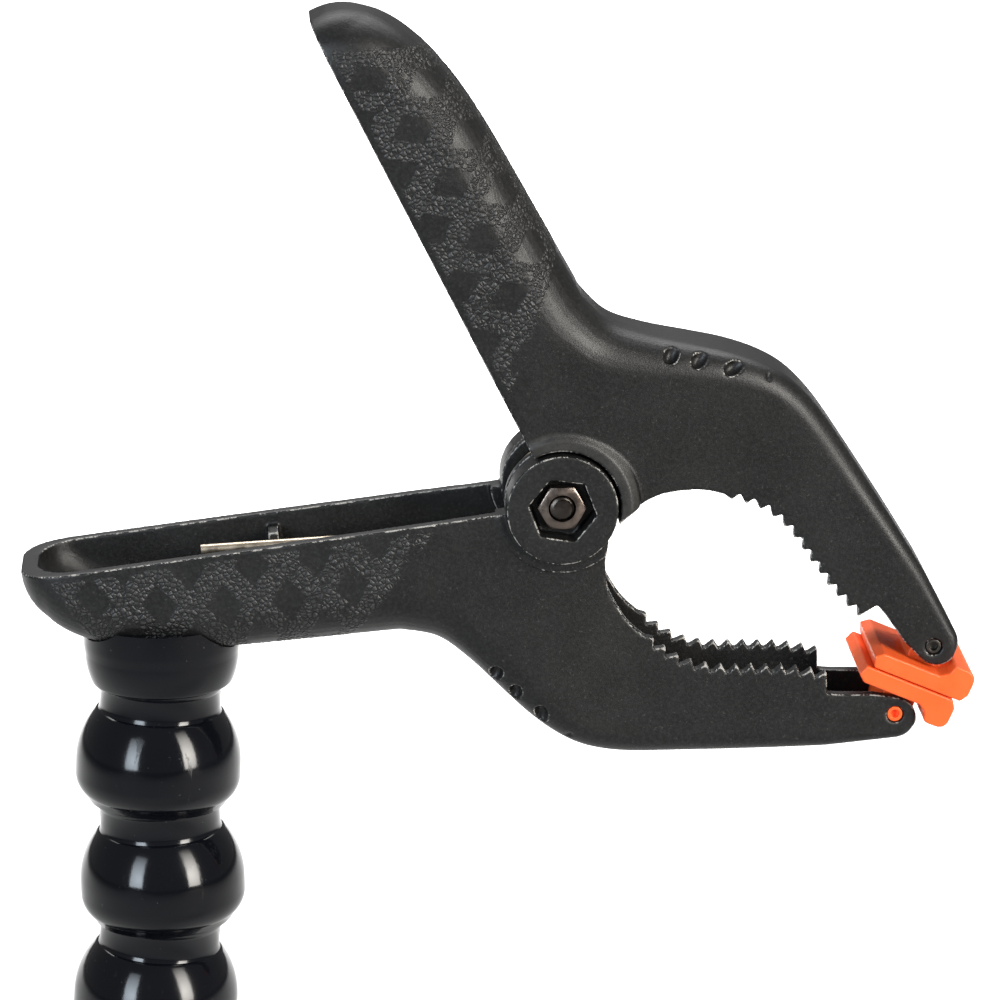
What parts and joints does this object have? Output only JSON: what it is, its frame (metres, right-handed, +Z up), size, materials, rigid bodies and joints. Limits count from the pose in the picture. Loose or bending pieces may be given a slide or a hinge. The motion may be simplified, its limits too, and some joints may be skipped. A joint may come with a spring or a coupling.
{
  "type": "spring clamp on a ball-and-socket arm",
  "caption": "Black nylon spring clamp with orange swivel pads on a segmented ball-and-socket arm with a threaded flange base.",
  "frame": {"origin": "centre of the base flange's flat underside, at the mouth of its threaded insert", "axes": "+Z up along the arm, +X from the arm towards the jaws, +Y along the pivot bolt away from its nut"},
  "size_m": [0.1808, 0.038, 0.2423],
  "materials": {
    "nylon_black": "moulded grain",
    "hose_black": "glossy",
    "pad_orange": "satin",
    "steel": "dull plated",
    "spring_steel": "oiled",
    "dark_steel": "black oxide",
    "brass": "turned"
  },
  "bodies": {
    "base": {"base_fitting": "hose_black", "base_insert": "brass"},
    "segment_4": {"arm_segment_4": "hose_black"},
    "segment_3": {"arm_segment_3": "hose_black"},
    "segment_2": {"arm_segment_2": "hose_black"},
    "segment_1": {"arm_segment_1": "hose_black"},
    "lower_clamp": {"lower_arm": "nylon_black", "saddle_socket": "hose_black", "saddle_screw": "steel", "saddle_washer": "steel", "saddle_nut": "steel", "pivot_bolt": "steel", "pivot_nut": "steel", "pivot_sleeve": "dark_steel", "torsion_spring": "spring_steel", "lower_pad_pin": "pad_orange"},
    "upper_clamp": {"upper_arm": "nylon_black", "upper_pad_pin": "dark_steel"},
    "upper_pad": {"upper_pad": "pad_orange"},
    "lower_pad": {"lower_pad": "pad_orange"}
  },
  "joints": [
    {"name": "base_bend", "type": "hinge", "parent": "base", "child": "segment_4", "pos_m": [0, 0, 0.0227], "axis": [0, 1, 0], "range_deg": [-8, 8]},
    {"name": "bend_3", "type": "hinge", "parent": "segment_4", "child": "segment_3", "pos_m": [0, 0, 0.0467], "axis": [1, 0, 0], "range_deg": [-6.5, 6.5]},
    {"name": "bend_2", "type": "hinge", "parent": "segment_3", "child": "segment_2", "pos_m": [0.00193, 0, 0.07062], "axis": [0, 1, 0], "range_deg": [-2, 13.5]},
    {"name": "bend_1", "type": "hinge", "parent": "segment_2", "child": "segment_1", "pos_m": [0.00142, 0, 0.09462], "axis": [1, 0, 0], "range_deg": [-6.5, 6.5]},
    {"name": "clamp_swivel", "type": "hinge", "parent": "segment_1", "child": "lower_clamp", "pos_m": [0.0026, 0, 0.11859], "axis": [0, 0, 1], "continuous": true},
    {"name": "jaw_open", "type": "hinge", "parent": "lower_clamp", "child": "upper_clamp", "pos_m": [0.0784, 0, 0.14869], "axis": [0, -1, 0], "range_deg": [0, 46], "stiffness_Nm_per_rad": 0.97, "springref_deg": -68.75, "deforming": ["torsion_spring"]},
    {"name": "upper_pad_swivel", "type": "hinge", "parent": "upper_clamp", "child": "upper_pad", "pos_m": [0.14984, 0, 0.11923], "axis": [0, -1, 0], "range_deg": [-23, 0]},
    {"name": "lower_pad_swivel", "type": "hinge", "parent": "lower_clamp", "child": "lower_pad", "pos_m": [0.14269, 0, 0.10582], "axis": [0, -1, 0], "range_deg": [0, 23]}
  ],
  "couplings": [
    {"joint": "upper_pad_swivel", "follows": "jaw_open", "ratio": -0.5},
    {"joint": "lower_pad_swivel", "follows": "jaw_open", "ratio": 0.5}
  ]
}
